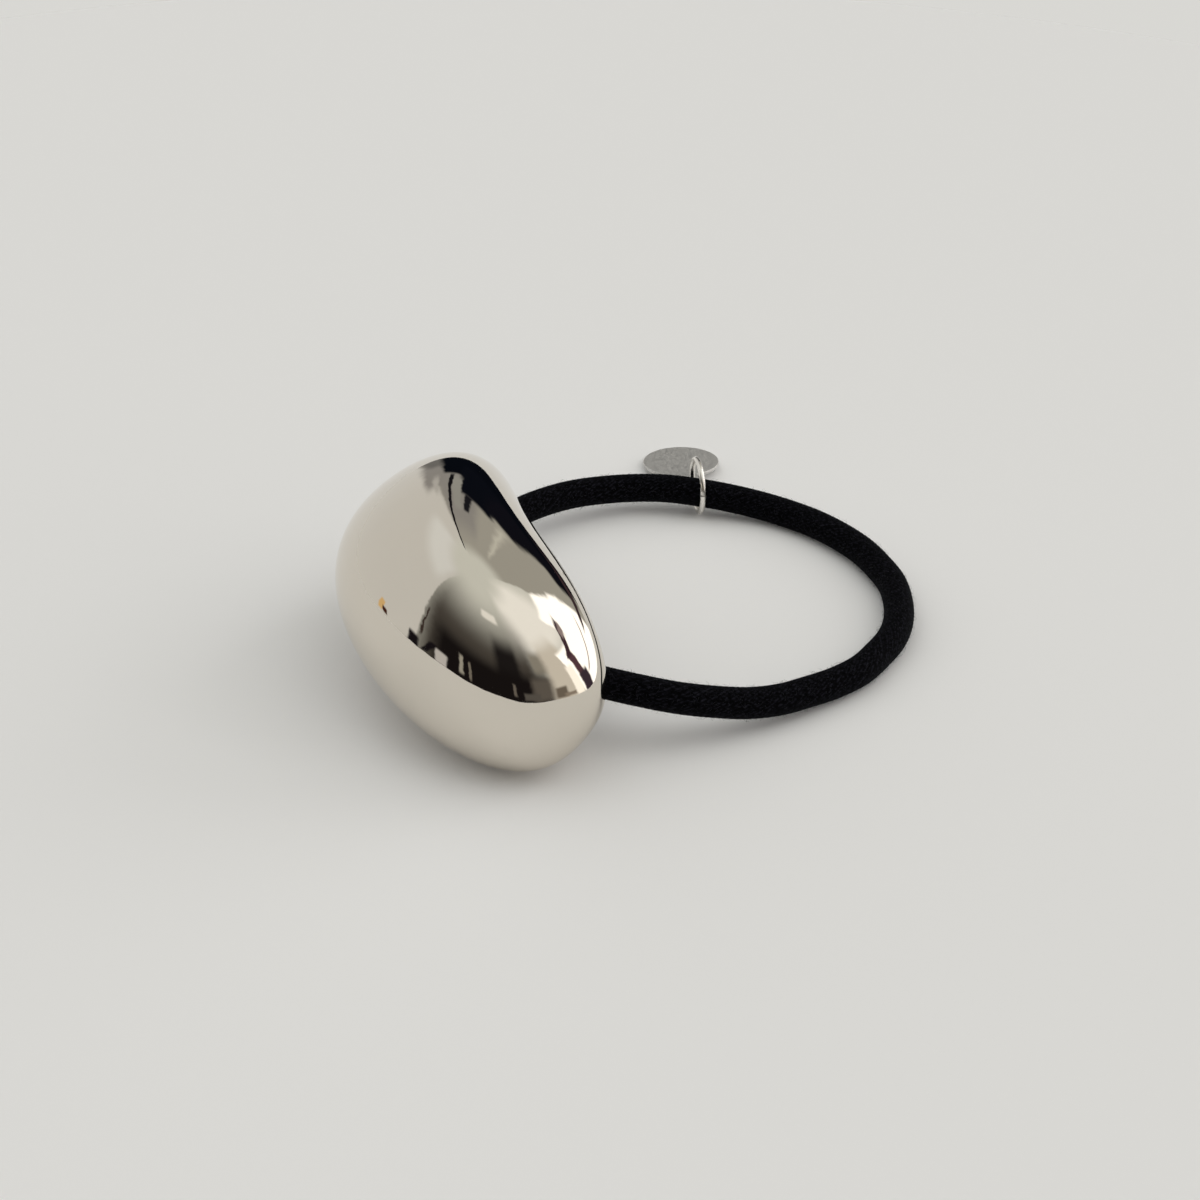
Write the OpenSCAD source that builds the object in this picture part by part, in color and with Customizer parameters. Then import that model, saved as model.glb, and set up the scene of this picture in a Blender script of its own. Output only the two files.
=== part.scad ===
// Hair tie: a plump polished shell threaded on a round elastic, with a small disc on a jump ring.
// The origin lies on the table under the middle of the cuff. +X runs from the cuff to the elastic loop,
// +Y runs to the cuff's back tip and +Z is up. All sizes are in millimetres.

/* [Cuff] */
// Length of the cuff's form along its chord, before it is arched
cuff_long = 54; // [48:1:58]
// Width of the cuff's form across its chord
cuff_wide = 26.6; // [22:0.2:30]
// Depth of the cuff's form, from its outermost point towards the hair
cuff_deep = 25.4; // [21:0.2:29]
// Thickness of the metal
cuff_wall = 1.6; // [1.2:0.1:2]
// Radius that the cuff's chord is arched to, so that its tips bend towards the hair
arch_radius = 50; // [42:1:80]
// Turn of the form about its chord from the middle to a point 25 mm along it, in degrees
cuff_twist = -32; // [-36:1:0]
// Height of the cuff's outermost side over the table, in degrees of roll
cuff_roll = 42; // [38:1:46]

/* [Elastic] */
// Diameter of the elastic
elastic_d = 4; // [3:0.1:4.2]

/* [Ring and disc] */
// Outer diameter of the jump ring
ring_d = 8.15; // [8:0.05:8.3]
// Thickness of the jump ring's wire
ring_wire = 0.8; // [0.6:0.05:0.85]
// Diameter of the disc
disc_d = 11; // [9:0.5:11]
// Thickness of the disc
disc_thick = 0.5; // [0.4:0.05:0.6]

/* [Hidden] */

// Middle of the cuff's chord over the table, and the slope of the chord in degrees
cuff_at = [0.61, -0.05, 12.66];
cuff_dip = 2.5;
// Share of squareness in the pebble, between an ellipsoid at 0 and a rounded block at 1
squareness = 0.45;
// Growth of the pebble towards its outermost side, its front tip and its upper side
lean = [0.10, -0.02, 0.07];
// Soft swellings and hollows of the pebble, seen from its middle, all angles in degrees:
// [direction from the outermost side towards the front tip, direction above the chord's plane, spread, height]
swells = [
    [135, 5, 30, 0.08],    // full inner side at the front tip
    [90, -50, 40, 0.10],   // full toe under the front tip
    [185, -5, 35, -0.04],  // flatter side towards the hair
    [212, 60, 35, -0.11],  // slimmer top of the back tip
];
// Mouth towards the hair, in degrees from the outermost side: its rim at the front, its rim at the back
// tip, the turn of its deepest point round the chord, and how narrow it is there
rim_front = 136;
rim_back = 88;
rim_turn = -15;
rim_power = 6;

// Steps round the cuff, from the outermost point to the rim outside, back again inside, and over the rim
around_steps = 72;
outer_steps = 32;
inner_steps = 20;
lip_steps = 4;

// Plain bar that crosses the mouth and keeps the elastic in the shell
bar_d = 2;
bar_polar = 131;
bar_gap = 0.12;

// Middle of the elastic loop on the table
loop_at = [31.6, 6.7];
// Route of the elastic: [direction from the loop's middle in degrees, distance from it, height]
route = [
    [117, 28.4, 4.5], [108, 28.6, 4.3], [99, 28.9, 4.0], [90, 29.1, 3.6], [81, 29.2, 3.3],
    [72, 28.7, 3.3], [63, 28.1, 3.2], [54, 28.4, 2.7], [45, 28.9, 2.2], [36, 29.1, 2.0],
    [27, 29.2, 2.0], [18, 29.3, 2.0], [9, 29.5, 2.0], [0, 29.6, 2.0], [-9, 29.9, 2.0],
    [-18, 29.9, 2.0], [-27, 29.9, 2.0], [-36, 29.7, 2.0], [-45, 29.2, 2.0], [-54, 29.0, 2.1],
    [-63, 28.4, 2.2], [-72, 28.0, 2.5], [-81, 28.1, 2.9], [-90, 28.4, 3.7], [-99, 28.9, 4.9],
    [-108, 29.8, 6.3], [-117, 30.2, 7.4], [-126, 30.3, 8.0], [-135, 30.8, 8.4], [-144, 31.7, 8.5],
    [-153, 32.2, 8.4], [-162, 32.5, 8.1], [-171, 32.5, 7.7], [180, 32.3, 7.2], [171, 31.7, 6.6],
    [162, 30.8, 5.9], [153, 29.9, 5.2], [144, 29.1, 4.7], [135, 28.6, 4.4], [126, 28.4, 4.4],
];
elastic_sides = 10;

// Middle of the jump ring, the turn of its plane, and the place and width of its split in degrees
ring_at = [44.46, 32.13, 4.1];
ring_turn = 82;
ring_split = 174;
ring_split_wide = 2.4;

// Middle of the disc, the turn of its neck, its tilt, and the distance from its middle to its eye
disc_at = [46.6, 45.05, 0.85];
disc_turn = -100;
disc_tilt = 6;
disc_reach = 10.2;
disc_neck_wide = 2.8;
disc_eye_d = 1.7;
disc_edge = 0.1;

// Directions of the cuff's own axes: outwards, along the chord to the front tip, and across
out_axis = [-cos(cuff_roll), sin(cuff_roll) * sin(cuff_dip), sin(cuff_roll) * cos(cuff_dip)];
front_axis = [0, -cos(cuff_dip), sin(cuff_dip)];
across_axis = [sin(cuff_roll), cos(cuff_roll) * sin(cuff_dip), cos(cuff_roll) * cos(cuff_dip)];

function unit(v) = v / norm(v);
function total(list, i = 0) = i < len(list) ? list[i] + total(list, i + 1) : 0;

// Direction at an angle from the outermost side, turned round that axis from the front tip
function direction(polar, around) = [cos(polar), sin(polar) * cos(around), sin(polar) * sin(around)];

// A swelling fades with the angle between the direction and its own
function swell(u, s) =
    s[3] * exp((u * [cos(s[1]) * cos(s[0]), cos(s[1]) * sin(s[0]), sin(s[1])] - 1) / (1 - cos(s[2])));
function reach(u) =
    (1 + u * lean + total([for (s = swells) swell(u, s)]))
    / pow((1 - squareness) + squareness * (pow(u.x, 4) + pow(u.y, 4) + pow(u.z, 4)), 0.25);

// The pebble is a direction stretched to the three half sizes
function pebble(u) = reach(u) * [u.x * cuff_deep, u.y * cuff_long, u.z * cuff_wide] / 2;
// It is then twisted along its chord, and arched so that its tips bend towards the hair
function arched(p) =
    let (turn = cuff_twist * p.y / 25)
    [cos(turn) * p.x - sin(turn) * p.z - p.y * p.y / (2 * arch_radius), p.y, sin(turn) * p.x + cos(turn) * p.z];
// and laid on the table in its own pose
function laid(p) = cuff_at + p.x * out_axis + p.y * front_axis + p.z * across_axis;
function skin(u) = laid(arched(pebble(unit(u))));

// Outward direction of the skin, from the skin's slopes along two directions square to u
function outward(u) =
    let (
        e = unit(cross(u, abs(u.z) < 0.9 ? [0, 0, 1] : [1, 0, 0])),
        f = cross(u, e),
        h = 0.01
    )
    unit(cross(skin(u + h * e) - skin(u - h * e), skin(u + h * f) - skin(u - h * f)));

function rim(around) =
    rim_front - (rim_front - rim_back) * pow((1 - cos(around - rim_turn)) / 2, rim_power);
function turn_of(j) = 360 * j / around_steps;
function inside(u) = skin(u) - cuff_wall * outward(u);

// The rim is half round: a point on it lies half a wall from the middle of the wall
function lip(j, i) =
    let (
        u = direction(rim(turn_of(j)), turn_of(j)),
        n = outward(u),
        along = skin(direction(rim(turn_of(j)) + 1, turn_of(j))) - skin(u),
        t = unit(along - (along * n) * n),
        a = 180 * i / lip_steps
    )
    skin(u) - cuff_wall / 2 * n + cuff_wall / 2 * (cos(a) * n + sin(a) * t);

// Rows of points one after another, closed by a point at each end, as one solid
module rows_solid(first, rows, last) {
    m = around_steps;
    count = len(rows);
    points = concat([first], [for (row = rows) each row], [last]);
    polyhedron(
        points = points,
        faces = concat(
            [for (j = [0 : m - 1]) [0, 1 + (j + 1) % m, 1 + j]],
            [for (i = [0 : count - 2], j = [0 : m - 1])
                let (a = 1 + i * m + j, b = 1 + i * m + (j + 1) % m) [a, b, b + m]],
            [for (i = [0 : count - 2], j = [0 : m - 1])
                let (a = 1 + i * m + j, b = 1 + i * m + (j + 1) % m) [a, b + m, a + m]],
            [for (j = [0 : m - 1])
                [1 + count * m, 1 + (count - 1) * m + j, 1 + (count - 1) * m + (j + 1) % m]]
        ),
        convexity = 6
    );
}

// Open shell, with its mouth towards the hair and its rim on the table
module cuff() {
    out = [1, 0, 0];
    rows = concat(
        [for (i = [1 : outer_steps])
            [for (j = [0 : around_steps - 1]) skin(direction(rim(turn_of(j)) * i / outer_steps, turn_of(j)))]],
        [for (i = [1 : lip_steps - 1]) [for (j = [0 : around_steps - 1]) lip(j, i)]],
        [for (i = [inner_steps : -1 : 1])
            [for (j = [0 : around_steps - 1]) inside(direction(rim(turn_of(j)) * i / inner_steps, turn_of(j)))]]
    );
    color("silver") rows_solid(skin(out), rows, inside(out));
}

// Seat of the bar's round end in the shell's inner face
function bar_end(around) =
    let (u = direction(bar_polar, around))
    skin(u) - (cuff_wall + bar_d / 2 + bar_gap) * outward(u);

// Straight bar with round ends between the mouth's two long sides
module bar() {
    low = bar_end(-90);
    span = bar_end(90) - low;
    color("gray")
        translate(low)
            rotate([0, acos(span.z / norm(span)), atan2(span.y, span.x)]) {
                cylinder(h = norm(span), d = bar_d, $fn = 48);
                sphere(d = bar_d, $fn = 48);
                translate([0, 0, norm(span)]) sphere(d = bar_d, $fn = 48);
            }
}

function route_point(i) =
    let (p = route[(i + len(route)) % len(route)])
    [loop_at.x + p[1] * cos(p[0]), loop_at.y + p[1] * sin(p[0]), p[2]];

// Closed tube: each ring of points stands square to the route
module elastic() {
    count = len(route);
    m = elastic_sides;
    points = [for (i = [0 : count - 1])
        let (
            along = unit(route_point(i + 1) - route_point(i - 1)),
            side = unit(cross(along, [0, 0, 1])),
            up = cross(side, along)
        )
        for (j = [0 : m - 1])
            route_point(i) + elastic_d / 2 * (sin(360 * j / m) * side - cos(360 * j / m) * up)];
    color("dimgray")
        polyhedron(
            points = points,
            faces = [for (i = [0 : count - 1], j = [0 : m - 1], half = [0, 1])
                let (
                    a = i * m + j,
                    b = i * m + (j + 1) % m,
                    c = ((i + 1) % count) * m + (j + 1) % m,
                    d = ((i + 1) % count) * m + j
                )
                half == 0 ? [a, b, c] : [a, c, d]],
            convexity = 4
        );
}

// Round wire bent to a ring round the elastic, open by a hair at its split
module jump_ring() {
    color("silver")
        translate(ring_at)
            rotate([0, 0, ring_turn]) rotate([90, 0, 0]) rotate([0, 0, ring_split + ring_split_wide / 2])
                rotate_extrude(angle = 360 - ring_split_wide, $fn = 96)
                    translate([(ring_d - ring_wire) / 2, 0]) circle(d = ring_wire, $fn = 32);
}

// Flat disc with broken edges and a short neck whose eye holds the ring
module disc() {
    r = disc_d / 2;
    t = disc_thick / 2;
    e = disc_edge;
    color("lightgray")
        translate(disc_at)
            rotate([0, 0, disc_turn]) rotate([0, -disc_tilt, 0])
                difference() {
                    union() {
                        rotate_extrude($fn = 96)
                            polygon([[0, -t], [r - e, -t], [r, e - t], [r, t - e], [r - e, t], [0, t]]);
                        translate([r / 2, -disc_neck_wide / 2, -t])
                            cube([disc_reach - r / 2, disc_neck_wide, disc_thick]);
                        translate([disc_reach, 0, -t]) cylinder(h = disc_thick, d = disc_neck_wide, $fn = 48);
                    }
                    translate([disc_reach, 0, -disc_thick]) cylinder(h = 2 * disc_thick, d = disc_eye_d, $fn = 48);
                }
}

cuff();
bar();
elastic();
jump_ring();
disc();
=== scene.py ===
import bpy
import numpy as np
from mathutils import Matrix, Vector


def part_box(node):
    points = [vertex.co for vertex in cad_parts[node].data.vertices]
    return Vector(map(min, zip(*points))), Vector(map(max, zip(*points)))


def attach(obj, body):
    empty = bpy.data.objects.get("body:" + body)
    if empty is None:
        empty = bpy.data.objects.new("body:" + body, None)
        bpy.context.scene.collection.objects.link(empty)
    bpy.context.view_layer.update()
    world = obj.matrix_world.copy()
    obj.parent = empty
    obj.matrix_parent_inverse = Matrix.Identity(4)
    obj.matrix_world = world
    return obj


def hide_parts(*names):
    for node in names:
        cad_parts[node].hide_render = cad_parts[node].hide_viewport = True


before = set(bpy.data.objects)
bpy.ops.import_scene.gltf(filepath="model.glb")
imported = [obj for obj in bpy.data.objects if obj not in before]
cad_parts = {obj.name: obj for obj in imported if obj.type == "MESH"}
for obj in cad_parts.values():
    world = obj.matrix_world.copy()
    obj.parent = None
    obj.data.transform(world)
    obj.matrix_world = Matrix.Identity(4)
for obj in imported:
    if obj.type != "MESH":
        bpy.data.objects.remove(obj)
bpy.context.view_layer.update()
mm = 0.001

# camera, in metres and degrees. Azimuth 0 looks along +Y and 90 along -X
view = {
    "aim": (0.02385, 0.01309, 0.0), "azimuth": -18, "elevation": 31, "distance": 0.35,
    "lens": 78.75, "sensor": 36, "near": 0.01, "far": 20,
}


# stands at the aim plus the distance times the direction that azimuth and elevation give, and looks back
def placeCamera(view):
    a, e = np.radians(view["azimuth"]), np.radians(view["elevation"])
    back = Vector((np.sin(a) * np.cos(e), -np.cos(a) * np.cos(e), np.sin(e)))
    data = bpy.data.cameras.new("camera")
    data.sensor_width, data.lens = view["sensor"], view["lens"]
    data.clip_start, data.clip_end = view["near"], view["far"]
    camera = bpy.data.objects.new("camera", data)
    bpy.context.scene.collection.objects.link(camera)
    camera.location = Vector(view["aim"]) + view["distance"] * back
    camera.rotation_mode = "QUATERNION"
    camera.rotation_quaternion = (-back).to_track_quat("-Z", "Y")
    bpy.context.scene.camera = camera


placeCamera(view)
print("camera placed")


# vectors divided by their own lengths
def unit(v):
    return v / np.linalg.norm(v, axis=-1, keepdims=True)


# quads between neighbouring rows of a grid of points, rows one after another. Each row is a closed round,
# and closeRows joins the last row to the first
def gridFaces(rows, cols, closeRows=False, first=0):
    i = np.arange(rows if closeRows else rows - 1)[:, None]
    j = np.arange(cols)[None]
    a, b = i * cols + j, i * cols + (j + 1) % cols
    c, d = (i + 1) % rows * cols + (j + 1) % cols, (i + 1) % rows * cols + j
    return first + np.stack([a, b, c, d], -1).reshape(-1, 4)


# fan of triangles from a point to a closed row that starts at first
def fanFaces(tip, first, cols, flip=False):
    j = np.arange(cols)
    a, b = first + j, first + (j + 1) % cols
    return np.stack([np.full(cols, tip), b, a] if flip else [np.full(cols, tip), a, b], -1)


# smooth mesh from points in metres and sets of faces, each face a row of point numbers. Its place is in the
# mesh, so the object stays at the origin
def makePiece(name, points, faceSets, body="root"):
    corners = np.concatenate([f.ravel() for f in faceSets]).astype(np.int32)
    sizes = np.concatenate([np.full(len(f), f.shape[1]) for f in faceSets]).astype(np.int32)
    starts = np.concatenate([[0], np.cumsum(sizes)[:-1]]).astype(np.int32)
    mesh = bpy.data.meshes.new(name)
    mesh.vertices.add(len(points))
    mesh.vertices.foreach_set("co", np.asarray(points, np.float32).ravel())
    mesh.loops.add(len(corners))
    mesh.loops.foreach_set("vertex_index", corners)
    mesh.polygons.add(len(sizes))
    mesh.polygons.foreach_set("loop_start", starts)
    mesh.polygons.foreach_set("use_smooth", np.ones(len(sizes), bool))
    mesh.update(calc_edges=True)
    piece = bpy.data.objects.new(name, mesh)
    bpy.context.scene.collection.objects.link(piece)
    if body:
        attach(piece, body)
    return piece


# writes a u, v pair for each face corner, from pairs in the faces' own order
def setUv(piece, uv):
    layer = piece.data.uv_layers.new(name="UVMap")
    layer.data.foreach_set("uv", np.asarray(uv, np.float32).ravel())


# new material with its shader's sockets set by name, where _ stands for a space
def newMaterial(name, **sockets):
    material = bpy.data.materials.new(name)
    material.use_nodes = True
    shader = material.node_tree.nodes["Principled BSDF"]
    for key, value in sockets.items():
        shader.inputs[key.replace("_", " ")].default_value = value
    return material, material.node_tree, shader


# new node with its settings, then its inputs: a socket is linked, and anything else is set
def addNode(tree, kind, inputs=None, **settings):
    node = tree.nodes.new(kind)
    for key, value in settings.items():
        setattr(node, key, value)
    for key, value in (inputs or {}).items():
        if isinstance(value, bpy.types.NodeSocket):
            tree.links.new(value, node.inputs[key])
        else:
            node.inputs[key].default_value = value
    return node


# a sum on one, two or three values
def mathNode(tree, operation, *values):
    return addNode(tree, "ShaderNodeMath", dict(enumerate(values)), operation=operation).outputs[0]


# noise from 0 to 1 at a place
def noiseNode(tree, where, scale, detail, roughness=0.5):
    inputs = {"Vector": where, "Scale": scale, "Detail": detail, "Roughness": roughness}
    return addNode(tree, "ShaderNodeTexNoise", inputs).outputs["Fac"]


# first colour at share 0, second colour at share 1
def colourNode(tree, share, first, second):
    pair = [c if isinstance(c, bpy.types.NodeSocket) else (*c, 1) for c in (first, second)]
    return addNode(tree, "ShaderNodeMix", {0: share, 6: pair[0], 7: pair[1]}, data_type="RGBA").outputs[2]


# round braided elastic, in millimetres
elastic = {
    "diameter": 4.0, "strands": 24, "rows": 230, "relief": 0.15,
    "under": 0.35,  # height of a strand's ridge where it passes under, against 1 where it passes over
    "stepsAcross": 3, "stepsAlong": 6,  # mesh steps in each strand's width and in each row
    "loopAt": (31.6, 6.7), "cuts": 60,  # the loop's middle, and steps between two of the route's points
    "hiddenAt": (5.0, -10.0, 8.3),  # a place inside the cuff, where the cord's path starts and ends
    "route": [  # direction from the loop's middle, distance from it, height
        (117, 28.4, 4.5), (108, 28.6, 4.3), (99, 28.9, 4.0), (90, 29.1, 3.6), (81, 29.2, 3.3),
        (72, 28.7, 3.3), (63, 28.1, 3.2), (54, 28.4, 2.7), (45, 28.9, 2.2), (36, 29.1, 2.0),
        (27, 29.2, 2.0), (18, 29.3, 2.0), (9, 29.5, 2.0), (0, 29.6, 2.0), (-9, 29.9, 2.0),
        (-18, 29.9, 2.0), (-27, 29.9, 2.0), (-36, 29.7, 2.0), (-45, 29.2, 2.0), (-54, 29.0, 2.1),
        (-63, 28.4, 2.2), (-72, 28.0, 2.5), (-81, 28.1, 2.9), (-90, 28.4, 3.7), (-99, 28.9, 4.9),
        (-108, 29.8, 6.3), (-117, 30.2, 7.4), (-126, 30.3, 8.0), (-135, 30.8, 8.4), (-144, 31.7, 8.5),
        (-153, 32.2, 8.4), (-162, 32.5, 8.1), (-171, 32.5, 7.7), (180, 32.3, 7.2), (171, 31.7, 6.6),
        (162, 30.8, 5.9), (153, 29.9, 5.2), (144, 29.1, 4.7), (135, 28.6, 4.4), (126, 28.4, 4.4),
    ],
}


# closed smooth curve through the route's points (Catmull-Rom), cut into equal steps of length
def routeLine(elastic, count):
    angle, away, height = np.array(elastic["route"], float).T
    angle = np.radians(angle)
    x, y = elastic["loopAt"]
    knots = np.stack([x + away * np.cos(angle), y + away * np.sin(angle), height], -1)
    t = np.linspace(0, 1, elastic["cuts"], endpoint=False)[None, :, None]
    p0, p1, p2, p3 = [np.roll(knots, s, 0)[:, None] for s in (1, 0, -1, -2)]
    square, cube = 2 * p0 - 5 * p1 + 4 * p2 - p3, 3 * p1 - p0 - 3 * p2 + p3
    line = 0.5 * (2 * p1 + (p2 - p0) * t + square * t**2 + cube * t**3)
    line = line.reshape(-1, 3)
    line = np.concatenate([line, line[:1]])
    run = np.concatenate([[0], np.cumsum(np.linalg.norm(np.diff(line, axis=0), axis=1))])
    at = np.arange(count) / count * run[-1]
    return np.stack([np.interp(at, run, line[:, k]) for k in range(3)], -1), run[-1]


# height of two families of strands that pass over and under each other: each is a round ridge across
# its own line, raised and lowered along it by a wave that is opposite in the other family
def braidHeight(u, v, elastic):
    p = elastic["strands"] * v + elastic["rows"] * u
    q = elastic["strands"] * v - elastic["rows"] * u
    ridgeP = np.sqrt(np.clip(1 - (2 * (p % 1) - 1) ** 2, 0, 1))
    ridgeQ = np.sqrt(np.clip(1 - (2 * (q % 1) - 1) ** 2, 0, 1))
    overP = 0.5 + 0.5 * np.cos(np.pi * (q + np.floor(p) - 0.5))
    overQ = 0.5 - 0.5 * np.cos(np.pi * (p + np.floor(q) - 0.5))
    under = elastic["under"]
    return np.maximum(ridgeP * (under + (1 - under) * overP), ridgeQ * (under + (1 - under) * overQ))


# directions at each point of a closed line: along it, level to its side, and up square to both
def lineFrame(line):
    along = unit(np.roll(line, -1, 0) - np.roll(line, 1, 0))
    side = unit(np.cross(along, [0, 0, 1]))
    return along, side, np.cross(side, along)


# closed tube along the route: u runs once along it and v once round it from below, and its radius is half the
# diameter less what the braid's height leaves of the relief
def makeElastic(elastic):
    n, m = elastic["rows"] * elastic["stepsAlong"], elastic["strands"] * elastic["stepsAcross"]
    line, length = routeLine(elastic, n)
    along, side, up = lineFrame(line)
    u = (np.arange(n) / n)[:, None]
    v = (np.arange(m) / m)[None]
    radius = elastic["diameter"] / 2 - elastic["relief"] * (1 - braidHeight(u, v, elastic))
    turn = 2 * np.pi * v[..., None]
    points = line[:, None] + radius[..., None] * (np.sin(turn) * side[:, None] - np.cos(turn) * up[:, None])
    faces = gridFaces(n, m, closeRows=True)[:, ::-1]
    piece = makePiece("elastic_braid", points.reshape(-1, 3) * mm, [faces])
    row, col = np.divmod(np.arange(n * m), m)
    corner = np.stack([row / n, col / m], -1)
    uv = np.stack([corner, corner + [0, 1 / m], corner + [1 / n, 1 / m], corner + [1 / n, 0]], 1)
    setUv(piece, uv[:, ::-1])
    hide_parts("elastic")
    return piece, line, length


# black yarn, with the height of its threads in metres
yarn = {
    "roughness": 0.85, "specular": 0.05, "sheen": 0.02, "sheenRoughness": 0.35, "sheenTint": (0.7, 0.85, 1.0),
    "threads": 5.0, "threadShare": 0.4,  # fine threads across a strand, and their share in the lightness
    "mottle": 0.9, "mottleShare": 0.6,   # unevenness from stitch to stitch, and its share
    "darkest": 0.46, "lightest": 0.66,   # lightness that counts as 0 and as 1
    "dark": (0.0003, 0.0003, 0.0007), "light": (0.014, 0.0138, 0.020),
    "bump": 0.6, "bumpHeight": 0.00006,
}


# fine threads run along whichever family of strands is on top, and catch the light unevenly. p and q count
# the strands of the two families, as in braidHeight
def braidMaterial(elastic, yarn):
    material, tree, shader = newMaterial(
        "black braid", Roughness=yarn["roughness"], Specular_IOR_Level=yarn["specular"],
        Sheen_Weight=yarn["sheen"], Sheen_Roughness=yarn["sheenRoughness"],
        Sheen_Tint=(*yarn["sheenTint"], 1))
    uv = addNode(tree, "ShaderNodeSeparateXYZ", {0: addNode(tree, "ShaderNodeTexCoord").outputs["UV"]})
    across = mathNode(tree, "MULTIPLY", uv.outputs[1], float(elastic["strands"]))
    along = mathNode(tree, "MULTIPLY", uv.outputs[0], float(elastic["rows"]))
    p, q = mathNode(tree, "ADD", across, along), mathNode(tree, "SUBTRACT", across, along)
    turn = mathNode(tree, "ADD", q, mathNode(tree, "FLOOR", p))
    over = mathNode(tree, "COSINE", mathNode(tree, "MULTIPLY", mathNode(tree, "SUBTRACT", turn, 0.5), np.pi))
    onTop = mathNode(tree, "GREATER_THAN", over, 0.0)
    threads = []
    for strand, run in ((p, q), (q, p)):
        fine = mathNode(tree, "MULTIPLY", strand, yarn["threads"])
        grid = addNode(tree, "ShaderNodeCombineXYZ", {0: fine, 1: run})
        threads.append(noiseNode(tree, grid.outputs[0], scale=1.0, detail=2.0))
    thread = addNode(tree, "ShaderNodeMix", {0: onTop, 2: threads[1], 3: threads[0]}).outputs[0]
    # each stitch is painted lightest on its crown and darkest where it dips under the other family, as
    # painted shade in the braid's crevices; and some stitches are lighter than others at random
    stitch = [mathNode(tree, "MULTIPLY", strand, yarn["mottle"]) for strand in (p, q)]
    grid = addNode(tree, "ShaderNodeCombineXYZ", {0: stitch[0], 1: stitch[1]})
    mottle = noiseNode(tree, grid.outputs[0], scale=1.0, detail=1.0)
    light = mathNode(tree, "ADD", mathNode(tree, "MULTIPLY", thread, yarn["threadShare"]),
                     mathNode(tree, "MULTIPLY", mottle, yarn["mottleShare"]))
    light = addNode(tree, "ShaderNodeMapRange", {
        "Value": light, "From Min": yarn["darkest"], "From Max": yarn["lightest"]}).outputs[0]
    # painted shade: the lightness is scaled by how high each stitch rides, so the crossings between stitches
    # are painted dark
    mottleAndPaintedShade = mathNode(tree, "MULTIPLY", light, mathNode(tree, "ABSOLUTE", over))
    tree.links.new(colourNode(tree, mottleAndPaintedShade, yarn["dark"], yarn["light"]), shader.inputs["Base Color"])
    bump = addNode(tree, "ShaderNodeBump", {
        "Height": thread, "Strength": yarn["bump"], "Distance": yarn["bumpHeight"]})
    tree.links.new(bump.outputs[0], shader.inputs["Normal"])
    return material


elasticPiece, elasticLine, elasticLength = makeElastic(elastic)
elasticPiece.data.materials.append(braidMaterial(elastic, yarn))
print("elastic braided,", round(elasticLength, 1), "mm long")

# loose fibre ends that stand off the braid, in millimetres
fuzz = {
    "hairs": 3000, "sides": 3, "rings": 5, "seed": 7, "thick": 0.026, "taper": 0.6,
    "lift": (0.08, 0.34), "lean": (0.15, 0.75), "curl": 0.35,
    "askew": 0.37,  # tilt of the line that the tube's sides are squared to, so that no hair runs along it
    "keepOff": (7.5, 1.2),  # no hairs left of this X, or this near the jump ring's middle along the line
    "patches": 900.0, "dark": (0.002, 0.002, 0.003), "light": (0.03, 0.032, 0.04),
}


# each hair is a thin tapering tube along a parabola: out from the skin by its lift, and over to one side by
# its lean and curl. None goes below the table
def makeFuzz(fuzz, elastic, line):
    rng = np.random.default_rng(fuzz["seed"])
    along, side, up = lineFrame(line)
    low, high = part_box("jump_ring")
    ringMiddle = (np.array(low) + np.array(high)) / 2 / mm
    atRing = line[np.argmin(np.linalg.norm(line - ringMiddle, axis=1))]
    farLeft, nearRing = fuzz["keepOff"]
    free = np.flatnonzero((line[:, 0] > farLeft) & (np.linalg.norm(line - atRing, axis=1) > nearRing))
    i = rng.choice(free, fuzz["hairs"])
    turn = rng.uniform(0, 2 * np.pi, (len(i), 1))
    out = np.sin(turn) * side[i] - np.cos(turn) * up[i]
    root = line[i] + out * (elastic["diameter"] / 2 - elastic["relief"])
    spin = rng.uniform(0, 2 * np.pi, (len(i), 1))
    over = np.cos(spin) * along[i] + np.sin(spin) * np.cross(along[i], out)
    lift = rng.uniform(*fuzz["lift"], (len(i), 1)) + elastic["relief"]
    lean = rng.uniform(*fuzz["lean"], (len(i), 1))
    curl = rng.normal(0, fuzz["curl"], (len(i), 1))
    s = np.linspace(0, 1, fuzz["rings"])[:, None, None]
    path = root + out * lift * (2 * s - s**2) + over * lean * s**1.5 + np.cross(out, over) * curl * s**2
    path = np.concatenate([path[..., :2], np.maximum(path[..., 2:], fuzz["thick"])], -1)
    way = unit(np.gradient(path, axis=0))
    a = unit(np.cross(way, out + fuzz["askew"] * over))
    b = np.cross(way, a)
    m = fuzz["sides"]
    ring = 2 * np.pi * np.arange(m)[:, None, None, None] / m
    radius = fuzz["thick"] / 2 * (1 - fuzz["taper"] * s)
    skin = path + radius * (np.cos(ring) * a + np.sin(ring) * b)  # side, ring, hair
    points = skin.transpose(2, 1, 0, 3).reshape(-1, 3)
    first = np.arange(len(i))[:, None, None] * fuzz["rings"] * m
    tube = gridFaces(fuzz["rings"], m)[None] + first
    rootCap = np.arange(m)[::-1][None, None] + first
    tipCap = (fuzz["rings"] - 1) * m + np.arange(m)[None, None] + first
    piece = makePiece("elastic_fuzz", points * mm, [
        tube.reshape(-1, 4), rootCap.reshape(-1, m), tipCap.reshape(-1, m)])
    return piece


# dull black, a little paler in patches
def fuzzMaterial(fuzz):
    material, tree, shader = newMaterial("black fibre ends", Roughness=0.6, Specular_IOR_Level=0.3)
    where = addNode(tree, "ShaderNodeTexCoord").outputs["Object"]
    patch = noiseNode(tree, where, fuzz["patches"], detail=1.0)
    tree.links.new(colourNode(tree, patch, fuzz["dark"], fuzz["light"]), shader.inputs["Base Color"])
    return material


fuzzPiece = makeFuzz(fuzz, elastic, elasticLine)
fuzzPiece.data.materials.append(fuzzMaterial(fuzz))
print("fuzz set on the elastic")

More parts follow.
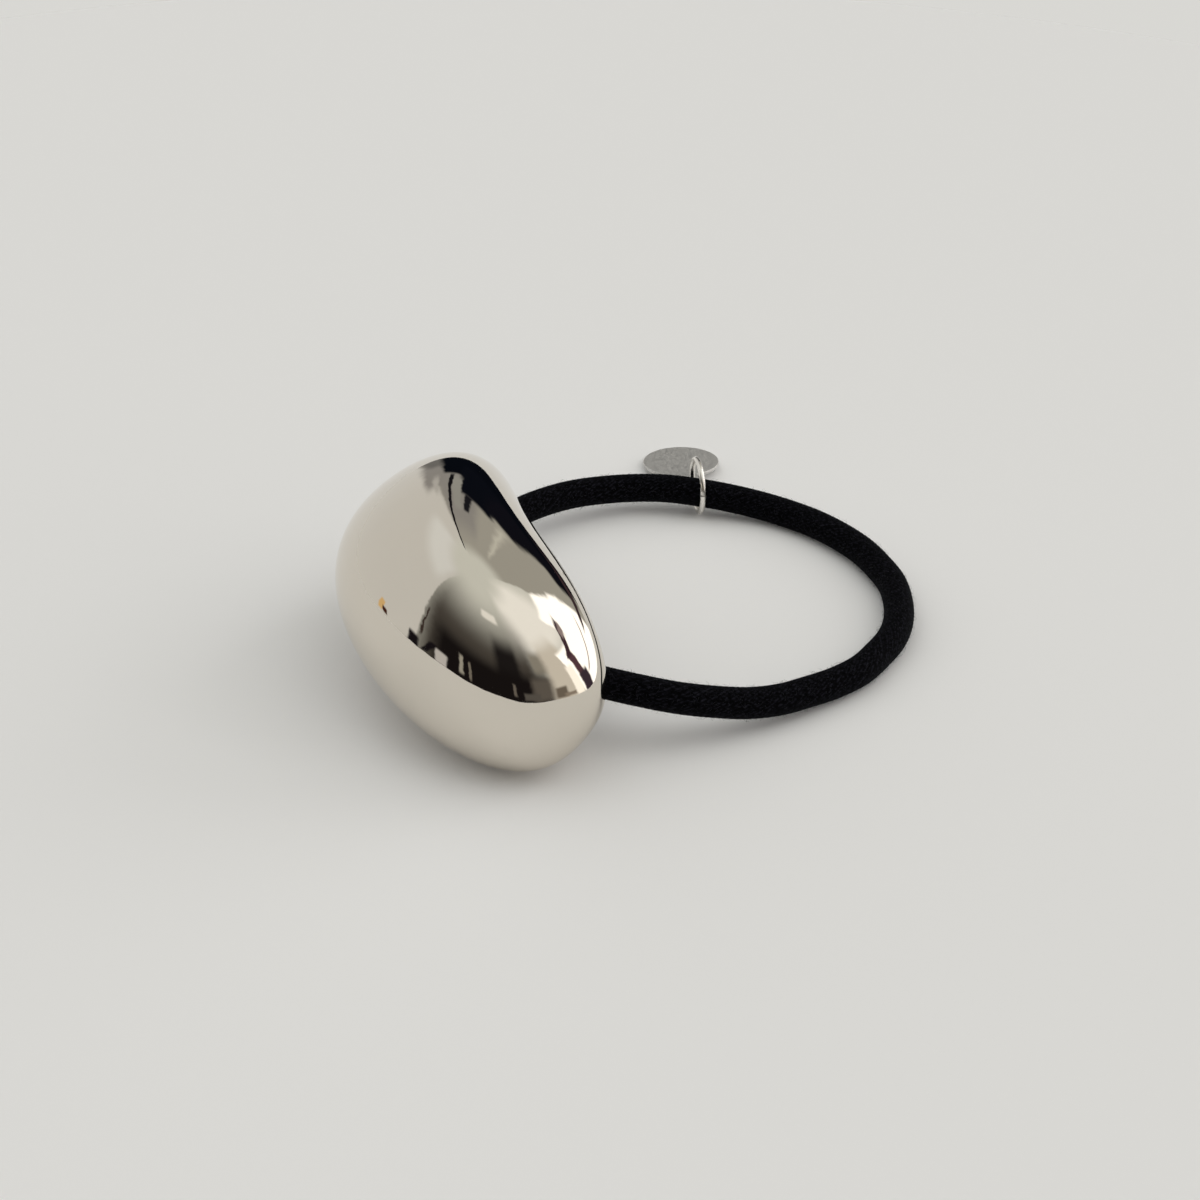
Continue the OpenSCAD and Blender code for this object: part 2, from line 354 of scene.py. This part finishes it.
# shell of the cuff, in millimetres and degrees. Its rim lies rimFront degrees from the outermost side at the
# front, and rimBack degrees at the back
cuff = {
    "long": 54.0, "wide": 26.6, "deep": 25.4, "squareness": 0.45, "lean": (0.10, -0.02, 0.07),
    "twist": -32.0, "twistOver": 25,  # degrees that it turns in so many millimetres of its length
    "archRadius": 50.0, "roll": 42.0, "dip": 2.5, "middle": (0.61, -0.05, 12.66), "wall": 1.6,
    "swells": [  # direction from the outermost side towards the front tip, direction up, spread, height
        (135, 5, 30, 0.08), (90, -50, 40, 0.10), (185, -5, 35, -0.04), (212, 60, 35, -0.11),
    ],
    "rimFront": 136.0, "rimBack": 88.0, "rimTurn": -15.0, "rimPower": 6,
    "around": 288, "outerSteps": 120, "lipSteps": 12, "innerSteps": 72, "slopeStep": 0.004,
}


# direction at an angle from the outermost side, turned round that axis from the front tip
def direction(polar, around):
    polar, around = np.radians(polar), np.radians(around)
    x, y, z = np.cos(polar) + 0 * around, np.sin(polar) * np.cos(around), np.sin(polar) * np.sin(around)
    return np.stack([x, y, z], -1)


# a squared pebble that leans and swells, stretched to its three sizes, twisted along its chord,
# arched towards the hair and laid on the table
def cuffSkin(u, cuff):
    u = unit(u)
    grow = 1 + u @ np.array(cuff["lean"])
    for a, e, spread, height in cuff["swells"]:
        a, e, spread = np.radians([a, e, spread])
        way = np.array([np.cos(e) * np.cos(a), np.cos(e) * np.sin(a), np.sin(e)])
        grow = grow + height * np.exp((u @ way - 1) / (1 - np.cos(spread)))
    square = cuff["squareness"]
    grow = grow / ((1 - square) + square * (u**4).sum(-1)) ** 0.25
    p = grow[..., None] * u * np.array([cuff["deep"], cuff["long"], cuff["wide"]]) / 2
    x, y, z = p[..., 0], p[..., 1], p[..., 2]
    turn = np.radians(cuff["twist"] * y / cuff["twistOver"])
    arch = y * y / (2 * cuff["archRadius"])
    q = np.stack([np.cos(turn) * x - np.sin(turn) * z - arch, y, np.sin(turn) * x + np.cos(turn) * z], -1)
    r, d = np.radians(cuff["roll"]), np.radians(cuff["dip"])
    axes = np.array([
        [-np.cos(r), np.sin(r) * np.sin(d), np.sin(r) * np.cos(d)],
        [0, -np.cos(d), np.sin(d)],
        [np.sin(r), np.cos(r) * np.sin(d), np.cos(r) * np.cos(d)],
    ])
    return q @ axes + np.array(cuff["middle"])


# outward direction of the skin, square to its slopes along two directions that are square to u
def cuffOutward(u, cuff):
    u = unit(u)
    e = unit(np.cross(u, np.where(np.abs(u[..., 2:]) < 0.9, [0, 0, 1.0], [1.0, 0, 0])))
    f = np.cross(u, e)
    h = cuff["slopeStep"]
    slopeE = cuffSkin(u + h * e, cuff) - cuffSkin(u - h * e, cuff)
    slopeF = cuffSkin(u + h * f, cuff) - cuffSkin(u - h * f, cuff)
    return unit(np.cross(slopeE, slopeF))


# rows of points from the outermost side over the skin to the rim, half round over the rim, and back inside,
# one wall below the skin. The rim's angle falls from front to back as a power of half a cosine wave
def makeCuff(cuff):
    m = cuff["around"]
    around = np.arange(m) * 360 / m
    backness = (1 - np.cos(np.radians(around - cuff["rimTurn"]))) / 2
    rim = cuff["rimFront"] - (cuff["rimFront"] - cuff["rimBack"]) * backness ** cuff["rimPower"]
    outer = (np.arange(cuff["outerSteps"]) + 1)[:, None] / cuff["outerSteps"]
    inner = (np.arange(cuff["innerSteps"]) + 1)[::-1, None] / cuff["innerSteps"]
    outerRows = cuffSkin(direction(rim * outer, around[None]), cuff)
    u = direction(rim * inner, around[None])
    innerRows = cuffSkin(u, cuff) - cuff["wall"] * cuffOutward(u, cuff)
    # the half round turns from the outward direction n to the direction t, along the skin towards the mouth
    u = direction(rim, around)
    n = cuffOutward(u, cuff)
    way = cuffSkin(direction(rim + 1, around), cuff) - cuffSkin(u, cuff)
    t = unit(way - (way * n).sum(-1, keepdims=True) * n)
    half = cuff["wall"] / 2
    a = (np.arange(cuff["lipSteps"] - 1) + 1)[:, None, None] * np.pi / cuff["lipSteps"]
    lipRows = cuffSkin(u, cuff) - half * n + half * (np.cos(a) * n + np.sin(a) * t)
    rows = np.concatenate([outerRows, lipRows, innerRows])
    out = np.array([[1.0, 0, 0]])
    tip = cuffSkin(out, cuff)
    pit = tip - cuff["wall"] * cuffOutward(out, cuff)
    points = np.concatenate([tip, rows.reshape(-1, 3), pit])
    faces = gridFaces(len(rows), m, first=1)[:, ::-1]
    piece = makePiece("cuff_shell", points * mm, [
        faces, fanFaces(0, 1, m), fanFaces(len(points) - 1, len(points) - 1 - m, m, flip=True)])
    inside = np.zeros(len(points), np.float32)
    inside[-1 - len(innerRows) * m:] = 1
    piece.data.attributes.new("inside", "FLOAT", "POINT").data.foreach_set("value", inside)
    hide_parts("cuff")
    return piece


# metals. Smears, grain and pores are the scales of their noise, and heights are in metres
finishes = {
    "polished plate": {
        "colour": (0.74, 0.69, 0.61), "roughness": 0.02, "smears": 90.0, "dulling": 0.03,
        "grain": 260.0, "grainHeight": 0.00002, "castRoughness": 0.28, "pores": 2600.0, "poreHeight": 0.00004,
    },
    "bright wire": {
        "colour": (0.88, 0.85, 0.80), "roughness": 0.17, "smears": 900.0, "dulling": 0.08,
        "grain": 2400.0, "grainHeight": 0.00001,
    },
    "satin disc": {
        "colour": (0.71, 0.70, 0.68), "roughness": 0.44, "smears": 2600.0, "dulling": 0.10,
        "grain": 6000.0, "grainHeight": 0.00001,
    },
    "plain bar": {
        "colour": (0.60, 0.59, 0.57), "roughness": 0.28, "smears": 400.0, "dulling": 0.10,
        "grain": 1800.0, "grainHeight": 0.00001,
    },
}
smearRange = (0.35, 0.75)  # noise where a smear begins, and where it is full: there it is twice as rough


# metal whose gloss and tone vary in faint smears, over a low grain. inside names an attribute that is 1 where
# the surface was left as cast, which is rougher there and has pores
def metalMaterial(name, finish, inside=None):
    material, tree, shader = newMaterial(name, Metallic=1.0)
    where = addNode(tree, "ShaderNodeTexCoord").outputs["Object"]
    smear = noiseNode(tree, where, finish["smears"], detail=4.0)
    patch = addNode(tree, "ShaderNodeMapRange", {
        "Value": smear, "From Min": smearRange[0], "From Max": smearRange[1]}).outputs[0]
    rough = addNode(tree, "ShaderNodeMix", {
        0: patch, 2: finish["roughness"], 3: finish["roughness"] * 2}).outputs[0]
    dulled = [c * (1 - finish["dulling"]) for c in finish["colour"]]
    grain = noiseNode(tree, where, finish["grain"], detail=2.0, roughness=0.4)
    normal = addNode(tree, "ShaderNodeBump", {
        "Height": grain, "Strength": 1.0, "Distance": finish["grainHeight"]}).outputs[0]
    if inside:
        cast = addNode(tree, "ShaderNodeAttribute", attribute_name=inside).outputs["Fac"]
        pores = mathNode(tree, "MULTIPLY", noiseNode(tree, where, finish["pores"], detail=3.0), cast)
        rough = mathNode(tree, "ADD", rough, mathNode(tree, "MULTIPLY", cast, finish["castRoughness"]))
        normal = addNode(tree, "ShaderNodeBump", {
            "Height": pores, "Normal": normal, "Strength": 1.0, "Distance": finish["poreHeight"]}).outputs[0]
    tree.links.new(rough, shader.inputs["Roughness"])
    tree.links.new(colourNode(tree, patch, finish["colour"], dulled), shader.inputs["Base Color"])
    tree.links.new(normal, shader.inputs["Normal"])
    return material


cuffPiece = makeCuff(cuff)
cuffPiece.data.materials.append(metalMaterial("polished plate", finishes["polished plate"], inside="inside"))
print("cuff formed")

# small metal keeps its solids and gets its finish
for nodeName, finishName in (("jump_ring", "bright wire"), ("disc", "satin disc"), ("bar", "plain bar")):
    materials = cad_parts[nodeName].data.materials
    materials.clear()
    materials.append(metalMaterial(finishName, finishes[finishName]))
print("small metal finished")

# the cord's path goes once round from the hidden place inside the cuff, a point for each row of the braid
start = int(np.argmin(np.linalg.norm(elasticLine - elastic["hiddenAt"], axis=1)))
path = np.roll(elasticLine, -start, 0)
path = np.concatenate([path, path[:1]])[::elastic["stepsAlong"]]

# table, in metres. The backdrop is the tone that its far edge shows, so that the edge can't be seen
table = {
    "radius": 0.28, "sides": 128, "colour": (0.88, 0.878, 0.875), "roughness": 0.7,
    "backdrop": (0.690, 0.683, 0.653),
}


# round flat top: a fan of triangles from its middle
def makeTable(table):
    turn = 2 * np.pi * np.arange(table["sides"]) / table["sides"]
    edge = table["radius"] * np.stack([np.cos(turn), np.sin(turn), 0 * turn], -1)
    top = makePiece("table", np.concatenate([[[0, 0, 0]], edge]), [fanFaces(0, 1, table["sides"])], body=None)
    material = newMaterial("pale table", Base_Color=(*table["colour"], 1), Roughness=table["roughness"],
                           Specular_IOR_Level=0.0)[0]
    top.data.materials.append(material)


makeTable(table)
print("table laid")

# plain tone of the light round the table, and the waves, in degrees, that keep the panels' edges uneven
studio = {"plain": (0.70, 0.71, 0.66), "waves": 14.0, "waveDetail": 3.0, "waveWidth": 3.0}

# panels and flags in it, later rows over earlier ones, in degrees: azimuth from +X, its half width and
# softness, elevation, its half height and softness, azimuth gained for each degree up, colour
panels = [
    (-45, 45, 30, 57, 21, 16, 0.0, (1.05, 1.04, 1.00)),         # broad panel overhead
    (-134, 58, 28, 0, 53, 54, 0.0, (0.070, 0.062, 0.054)),      # dark drape to the front
    (-72, 10, 6, 31, 9, 8, 0.0, (0.30, 0.28, 0.24)),            # its greyer end
    (-112, 13, 10, 20, 23, 18, 0.0, (0.014, 0.012, 0.012)),     # deep fold in it
    (-123, 55, 14, 4, 17, 15, 0.0, (0.010, 0.008, 0.008)),      # its low end
    (-76, 14, 9, 8, 11, 9, 0.0, (0.13, 0.115, 0.10)),           # grey card beside it
    (-110, 1.5, 1.5, 6, 5, 3, 0.0, (0.16, 0.14, 0.12)),         # thin grey strip
    (-92, 9, 3, 2, 3, 3, 0.0, (0.11, 0.10, 0.09)),              # low grey strip
    (-158, 1.5, 1.5, 6, 6, 3, 0.0, (0.38, 0.36, 0.31)),         # thin pale strip
    (-151, 1.0, 1.0, 5, 6, 3, 0.0, (0.20, 0.18, 0.15)),         # and one behind it
    (-172.5, 4, 2, 0, 3.5, 2, 0.0, (0.58, 0.56, 0.55)),         # small pale card
    (-122, 12, 6, 61, 3, 3, 0.0, (0.95, 0.93, 0.88)),           # small lamp overhead
    (128, 43, 2, 30, 36, 12, 0.0, (0.68, 0.67, 0.645)),         # pale panel at the back left
    (135, 30, 14, 55, 11, 14, 0.0, (0.79, 0.80, 0.79)),         # lighter upper part of it
    (173, 0.5, 0.6, 13, 9, 3, 0.08, (0.05, 0.035, 0.03)),       # its dark edge
    (169, 3, 1.5, -3, 4.5, 2, 0.0, (0.010, 0.008, 0.010)),      # small black flag
    (179, 2, 1.5, 1, 4, 2, 0.8, (0.010, 0.008, 0.010)),         # and one beside it
    (47, 38, 3, 30, 42, 12, 0.0, (0.41, 0.40, 0.36)),           # grey panel at the back
    (70, 15, 8, 32, 26, 22, 0.0, (0.31, 0.30, 0.29)),           # its darker end
    (84, 7, 5, 12, 13, 10, 0.35, (0.30, 0.29, 0.28)),           # soft fold at its end
    (80, 5, 4, -1, 6, 6, 0.0, (0.17, 0.165, 0.16)),             # foot of the fold
    (87, 2, 3, 24, 7, 8, 0.3, (0.50, 0.49, 0.47)),              # light on the fold
    (60, 19, 3, 3.5, 11.5, 3, 0.0, (0.003, 0.004, 0.007)),      # broad black flag, low part
    (58, 10, 3, 17, 13, 4, 0.0, (0.004, 0.005, 0.009)),         # high part
    (47, 6, 4, 14, 11, 4, 0.0, (0.006, 0.006, 0.010)),          # its step at the end
    (40, 4, 3, 6, 6, 4, 0.0, (0.006, 0.006, 0.010)),            # and the lowest step
    (62.5, 2.5, 2, 36, 7, 3, 0.2, (0.012, 0.012, 0.016)),       # narrow tab on top
    (71, 3.5, 2, 31, 13, 6, 0.1, (0.34, 0.34, 0.32)),           # pale patch beside it
    (80.5, 1.5, 1.0, 44, 28, 4, 0.26, (0.008, 0.008, 0.010)),   # thin black strip
    (41, 1.2, 5, 46, 18, 10, -0.15, (0.66, 0.65, 0.58)),        # pale seam in the grey panel
    (-52, 15, 12, 18, 26, 16, 0.0, (0.72, 0.67, 0.59)),         # warm edge of the bright panel
    (-60, 6, 4, 3, 5, 3, 0.0, (0.18, 0.15, 0.12)),              # dark foot under it
    (-50, 8, 4, 0, 1.5, 2, 0.0, (0.30, 0.25, 0.20)),            # and its thin end
    (-4, 33, 3, 8, 26, 4, -0.30, (1.70, 1.67, 1.63)),           # bright panel, low part
    (3.5, 13.5, 4, 38, 13, 4, -0.60, (1.70, 1.67, 1.63)),       # and high part
    (-40, 5, 3, 10, 13, 4, 0.0, (1.40, 1.34, 1.24)),            # bright strip at its side
    (-26.5, 5, 2.5, 14, 15, 4, 0.0, (0.11, 0.055, 0.07)),       # dark slanted strip on it
    (-17, 5, 2.5, 34, 7.5, 3, 1.6, (0.06, 0.03, 0.04)),         # its upper end
    (-9, 5, 3, 37, 2.2, 2, 1.0, (0.35, 0.28, 0.28)),            # and paler top
    (4, 3.5, 2, 12, 4, 2, 4.1, (0.42, 0.33, 0.32)),             # strip across the bright panel
    (-24, 8, 4, 4, 9, 4, 0.0, (0.05, 0.035, 0.05)),             # dark foot of the slanted strip
    (35, 4, 2, 3.5, 5, 3, -2.3, (0.05, 0.03, 0.035)),           # dark foot at the panel's right
    (147, 1.7, 0.8, -1.0, 2.0, 1, 0.0, (0.75, 0.50, 0.22)),     # small warm spot, low at the left
    (150, 1.6, 0.8, -1.8, 0.9, 0.8, -1.0, (0.06, 0.02, 0.01)),  # and its dark brown end
]


# 1 where the distance from a middle line is below half, 0 where it is above, and a soft edge between
def softBand(tree, away, half, soft):
    return addNode(tree, "ShaderNodeMapRange", {
        "Value": mathNode(tree, "ABSOLUTE", away), "From Min": half + soft / 2, "From Max": half - soft / 2,
        "To Min": 0.0, "To Max": 1.0}, interpolation_type="SMOOTHSTEP").outputs[0]


# lays the panels over one another on the sphere of directions, and shows the camera itself a plain backdrop
def lightStudio(studio, panels, backdrop):
    world = bpy.data.worlds.new("studio")
    bpy.context.scene.world = world
    world.use_nodes = True
    tree = world.node_tree
    where = addNode(tree, "ShaderNodeTexCoord").outputs["Generated"]
    way = addNode(tree, "ShaderNodeSeparateXYZ", {0: where})
    degree = 180 / np.pi
    azimuth = mathNode(tree, "MULTIPLY", mathNode(tree, "ARCTAN2", way.outputs[1], way.outputs[0]), degree)
    wave = mathNode(tree, "SUBTRACT", noiseNode(tree, where, studio["waves"], studio["waveDetail"]), 0.5)
    azimuth = mathNode(tree, "ADD", azimuth, mathNode(tree, "MULTIPLY", wave, studio["waveWidth"]))
    rise = mathNode(tree, "MULTIPLY", mathNode(tree, "ARCSINE", way.outputs[2]), degree)
    colour = studio["plain"]
    for middle, halfWide, softWide, height, halfHigh, softHigh, slope, tone in panels:
        # degrees from the panel's middle height, and from its middle line the short way round
        lift = mathNode(tree, "SUBTRACT", rise, height)
        off = mathNode(tree, "SUBTRACT", azimuth, middle)
        off = mathNode(tree, "SUBTRACT", off, mathNode(tree, "MULTIPLY", lift, slope))
        off = mathNode(tree, "WRAP", off, 180.0, -180.0)
        inPanel = mathNode(tree, "MULTIPLY", softBand(tree, off, halfWide, softWide),
                           softBand(tree, lift, halfHigh, softHigh))
        colour = colourNode(tree, inPanel, colour, tone)
    direct = addNode(tree, "ShaderNodeLightPath").outputs["Is Camera Ray"]
    sky = tree.nodes["Background"]
    tree.links.new(colourNode(tree, direct, colour, backdrop), sky.inputs["Color"])
    sky.inputs["Strength"].default_value = 1.0


lightStudio(studio, panels, table["backdrop"])
print("studio lit")

# broad soft lamps, as even over the whole table as far ones are, and kept out of the metal's reflections. The
# bounce lamp throws no shadow: it stands for the light that the metal throws back on the table around it
lamps = {
    "overhead": {"from": (0.25, 0.20, 1.3), "spread": 60.0, "strength": 0.14, "shadow": True},
    "side": {"from": (0.7, -0.9, 0.8), "spread": 70.0, "strength": 0.22, "shadow": True},
    "fill": {"from": (-0.8, 0.6, 0.9), "spread": 90.0, "strength": 0.26, "shadow": True},
    "bounce": {"from": (0.0, 0.0, 1.0), "spread": 10.0, "strength": 0.12, "shadow": False},
}


# far lamp that shines from its place towards the origin, spread over an angle in degrees
def addLamp(name, lamp):
    data = bpy.data.lights.new(name, "SUN")
    data.angle, data.energy = np.radians(lamp["spread"]), lamp["strength"]
    data.use_shadow = lamp["shadow"]
    light = bpy.data.objects.new(name, data)
    bpy.context.scene.collection.objects.link(light)
    light.location = lamp["from"]
    light.rotation_mode = "QUATERNION"
    light.rotation_quaternion = Vector(lamp["from"]).to_track_quat("Z", "Y")
    light.visible_glossy = False


for lampName, lamp in lamps.items():
    addLamp(lampName, lamp)
bpy.context.scene.view_settings.view_transform = "Standard"
print("lamps set")
